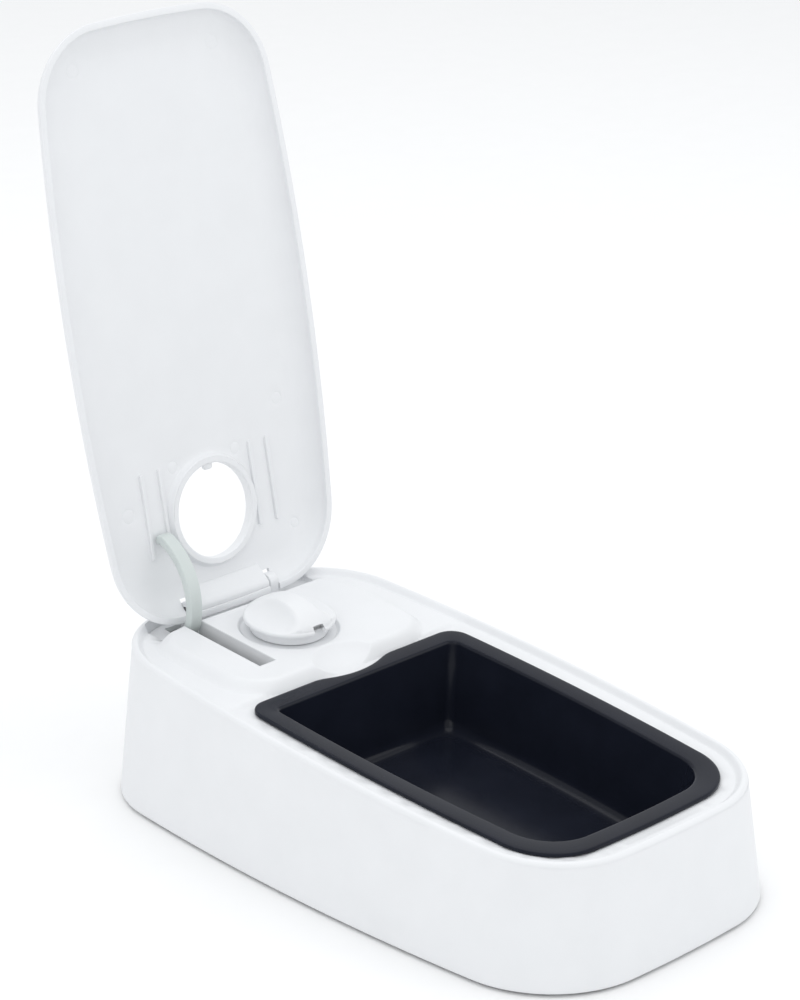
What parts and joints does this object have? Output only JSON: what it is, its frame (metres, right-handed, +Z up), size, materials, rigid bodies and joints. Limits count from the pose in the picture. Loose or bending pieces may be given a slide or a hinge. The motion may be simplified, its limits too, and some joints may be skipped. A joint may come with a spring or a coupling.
{
  "type": "automatic pet feeder",
  "caption": "Battery-timed pet feeder: sloping case with a lift-out food bowl, a sprung lid on a rear hinge and a timer dial that releases the lid at the set time.",
  "frame": {"origin": "on the ground under the middle of the whole object's box, lid open", "axes": "+Z up; -Y is the front where the animal eats and +Y the lid hinge side; +X is the right-hand side seen from the front looking to the rear"},
  "size_m": [0.1344, 0.2686, 0.2721],
  "materials": {
    "case_white": "satin moulded",
    "bowl_dark": "glossy moulded",
    "arm_grey": "satin moulded",
    "foot_rubber": "matte",
    "pin_steel": "drawn",
    "gear_brass": "cut",
    "nylon_natural": "moulded",
    "board_green": "solder mask",
    "chip_black": "moulded",
    "cell_jacket": "printed jacket, plain",
    "wire_red": "PVC sleeve"
  },
  "bodies": {
    "case": {"housing_shell": "case_white", "base_plate": "case_white", "feet": "foot_rubber", "base_screws": "pin_steel", "battery_cell": "cell_jacket", "contact_front": "pin_steel", "contact_rear": "pin_steel", "lead_wires": "wire_red", "hinge_pin": "pin_steel", "arm_pin": "pin_steel", "lifter_spring": "pin_steel", "timer_case_top": "nylon_natural", "timer_case_base": "nylon_natural", "timer_screws": "pin_steel", "counter_arbor": "pin_steel", "drive_motor": "pin_steel", "circuit_board": "board_green", "crystal_can": "pin_steel", "timer_chip": "chip_black"},
    "lid": {"lid": "case_white"},
    "lifter": {"lifter_arm": "arm_grey"},
    "bowl": {"bowl": "bowl_dark"},
    "dial": {"timer_dial": "case_white", "output_shaft": "pin_steel", "output_wheel": "gear_brass", "clutch_washer": "pin_steel"},
    "counter": {"counter_wheel": "nylon_natural"},
    "motor_out": {"motor_pinion": "gear_brass"},
    "door": {"battery_door": "case_white"}
  },
  "joints": [
    {"name": "lid_hinge", "type": "hinge", "parent": "case", "child": "lid", "pos_m": [0, 0.09085, 0.06057], "axis": [1, 0, 0], "range_deg": [0, 105], "stiffness_Nm_per_rad": 0.06, "springref_deg": -22.92},
    {"name": "lifter_pivot", "type": "hinge", "parent": "case", "child": "lifter", "pos_m": [-0.0255, 0.08893, 0.05052], "axis": [1, 0, 0], "range_deg": [0, 90.3]},
    {"name": "dial_turn", "type": "hinge", "parent": "case", "child": "dial", "pos_m": [0, 0.05853, 0.05687], "axis": [0, -0.068, 0.9977], "continuous": true},
    {"name": "counter_turn", "type": "hinge", "parent": "case", "child": "counter", "pos_m": [0.01501, 0.04911, 0.0462], "axis": [0, -0.068, 0.9977], "continuous": true},
    {"name": "motor_turn", "type": "hinge", "parent": "case", "child": "motor_out", "pos_m": [0.0054, 0.046, 0.04599], "axis": [0, -0.068, 0.9977], "continuous": true},
    {"name": "bowl_lift", "type": "slide", "parent": "case", "child": "bowl", "axis": [0, 0.068, -0.9977], "range_m": [-0.06, 0]},
    {"name": "door_slide", "type": "slide", "parent": "case", "child": "door", "axis": [0, 1, 0], "range_m": [0, 0.006]}
  ],
  "couplings": [
    {"joint": "lifter_pivot", "follows": "lid_hinge", "ratio": 0.86},
    {"joint": "counter_turn", "follows": "dial_turn", "ratio": -5},
    {"joint": "motor_turn", "follows": "dial_turn", "ratio": 15}
  ]
}
